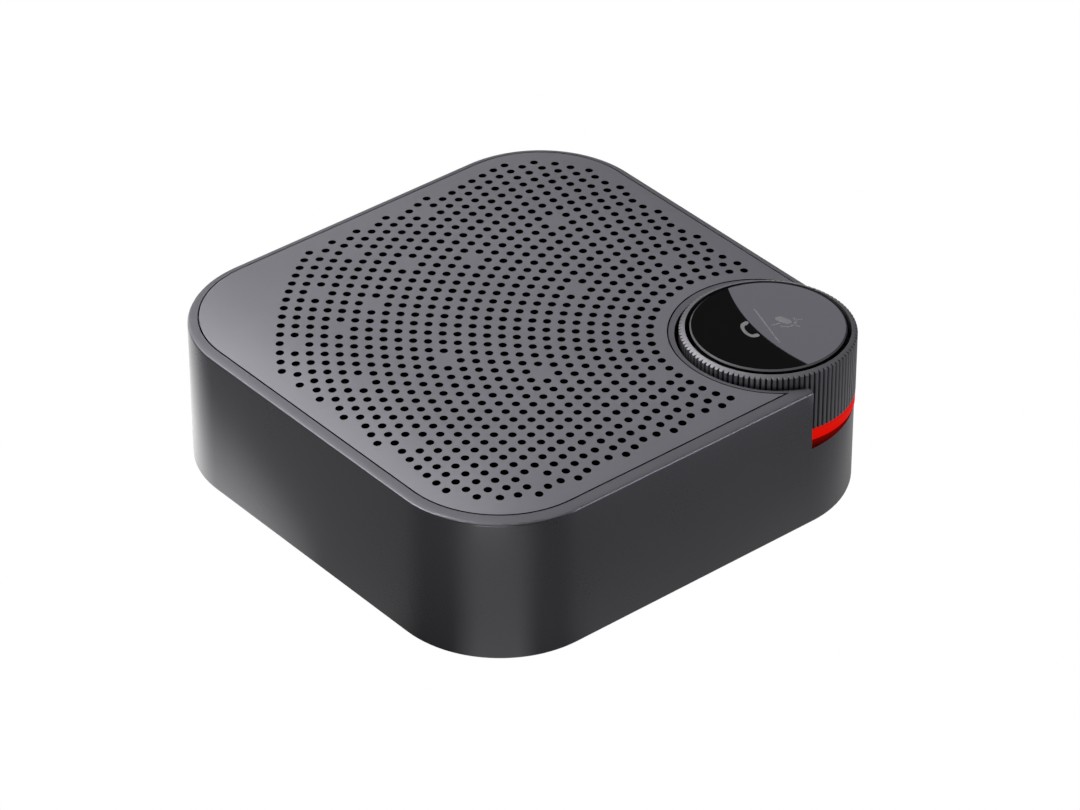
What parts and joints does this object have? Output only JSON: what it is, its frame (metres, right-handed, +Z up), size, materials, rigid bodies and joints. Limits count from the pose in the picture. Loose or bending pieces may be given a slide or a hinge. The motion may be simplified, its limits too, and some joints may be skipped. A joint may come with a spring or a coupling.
{
  "type": "conference speakerphone",
  "caption": "Low square tabletop speakerphone with a domed perforated top, and a knurled volume dial with a glass call and mute cap in one corner.",
  "frame": {"origin": "centre of the body in plan, on the surface that the feet stand on", "axes": "+Z up; -Y front; the volume dial is at the front right corner, towards +X and -Y; +Y rear, with the socket and buttons"},
  "size_m": [0.11, 0.11, 0.037],
  "materials": {
    "acoustic_cloth": "black acoustic cloth",
    "base_finish": "dark grey moulded plastic, fine spark texture",
    "battery_film": "blue shrink film over a flat cell",
    "black_glass": "black-backed gloss glass with grey printed icons",
    "black_insulation": "black wire insulation",
    "black_plastic": "black moulded plastic",
    "board_laminate": "green solder mask",
    "bright_steel": "tinned or nickel-plated sheet steel",
    "button_plastic": "dark grey moulded button with a lighter icon",
    "chip_black": "black moulded component body",
    "clear_plastic": "milky light pipe",
    "cone_paper": "coated paper pulp cone",
    "copper": "enamelled copper wire winding",
    "dark_steel": "black-finished steel",
    "foot_rubber": "matt black rubber",
    "grille_metal": "dark grey satin anodised, perforated, fine bead-blast grain",
    "housing_finish": "dark storm-grey satin metallic paint, fine grain",
    "inner_rubber": "soft black rubber",
    "magnet_ferrite": "bonded ferrite",
    "red_diffuser": "translucent red light guide, lit",
    "red_insulation": "red wire insulation",
    "ring_metal": "dark grey satin anodised, knurled edge",
    "spider_cloth": "resin-dipped corrugated cloth",
    "white_acetal": "natural acetal"
  },
  "bodies": {
    "housing": {"amplifier_chip": "chip_black", "base_cover": "base_finish", "base_screw_front_left": "dark_steel", "base_screw_front_right": "dark_steel", "base_screw_rear_left": "dark_steel", "base_screw_rear_right": "dark_steel", "battery_lead": "red_insulation", "battery_pack": "battery_film", "bearing_sleeve": "white_acetal", "call_switch": "chip_black", "charging_socket": "bright_steel", "dial_board": "board_laminate", "dial_lead": "black_insulation", "dial_platform": "black_plastic", "dial_post": "white_acetal", "foot_front_left": "foot_rubber", "foot_front_right": "foot_rubber", "foot_rear_left": "foot_rubber", "foot_rear_right": "foot_rubber", "grille_cloth": "acoustic_cloth", "grille_plate": "grille_metal", "housing_shell": "housing_finish", "inner_frame": "black_plastic", "led_board": "board_laminate", "light_ring": "red_diffuser", "main_board": "board_laminate", "mic_boot_front": "inner_rubber", "mic_boot_front_left": "inner_rubber", "mic_boot_rear_left": "inner_rubber", "mic_boot_rear_right": "inner_rubber", "mic_front": "bright_steel", "mic_front_left": "bright_steel", "mic_rear_left": "bright_steel", "mic_rear_right": "bright_steel", "mute_switch": "chip_black", "pairing_switch": "chip_black", "power_inductor": "chip_black", "power_switch": "chip_black", "processor_chip": "chip_black", "radio_shield": "bright_steel", "socket_tongue": "black_plastic", "speaker_basket": "dark_steel", "speaker_gasket": "inner_rubber", "speaker_lead": "black_insulation", "speaker_magnet": "bright_steel", "speaker_spider": "spider_cloth", "speaker_surround": "inner_rubber", "status_light_pipe": "clear_plastic"},
    "volume_ring": {"volume_ring": "ring_metal", "encoder_magnet": "magnet_ferrite"},
    "call_mute_cap": {"touch_glass": "black_glass", "cap_carrier": "black_plastic"},
    "power_key": {"power_button": "button_plastic"},
    "pairing_key": {"pairing_button": "button_plastic"},
    "speaker_diaphragm": {"speaker_cone": "cone_paper", "voice_coil": "copper"}
  },
  "joints": [
    {"name": "volume_turn", "type": "hinge", "parent": "housing", "child": "volume_ring", "pos_m": [0.0354, -0.0354, 0.026], "axis": [0, 0, 1], "continuous": true},
    {"name": "call_mute_rock", "type": "hinge", "parent": "housing", "child": "call_mute_cap", "pos_m": [0.0354, -0.0354, 0.03275], "axis": [0.3239, 0.9461, 0], "range_deg": [-1.2, 1.2], "stiffness_Nm_per_rad": 0.6},
    {"name": "power_press", "type": "slide", "parent": "housing", "child": "power_key", "axis": [0, -1, 0], "range_m": [0, 0.0005], "stiffness_N_per_m": 600},
    {"name": "pairing_press", "type": "slide", "parent": "housing", "child": "pairing_key", "axis": [0, -1, 0], "range_m": [0, 0.0005], "stiffness_N_per_m": 600},
    {"name": "cone_travel", "type": "slide", "parent": "housing", "child": "speaker_diaphragm", "axis": [0, 0, 1], "range_m": [-0.0005, 0.0005], "stiffness_N_per_m": 1500}
  ]
}
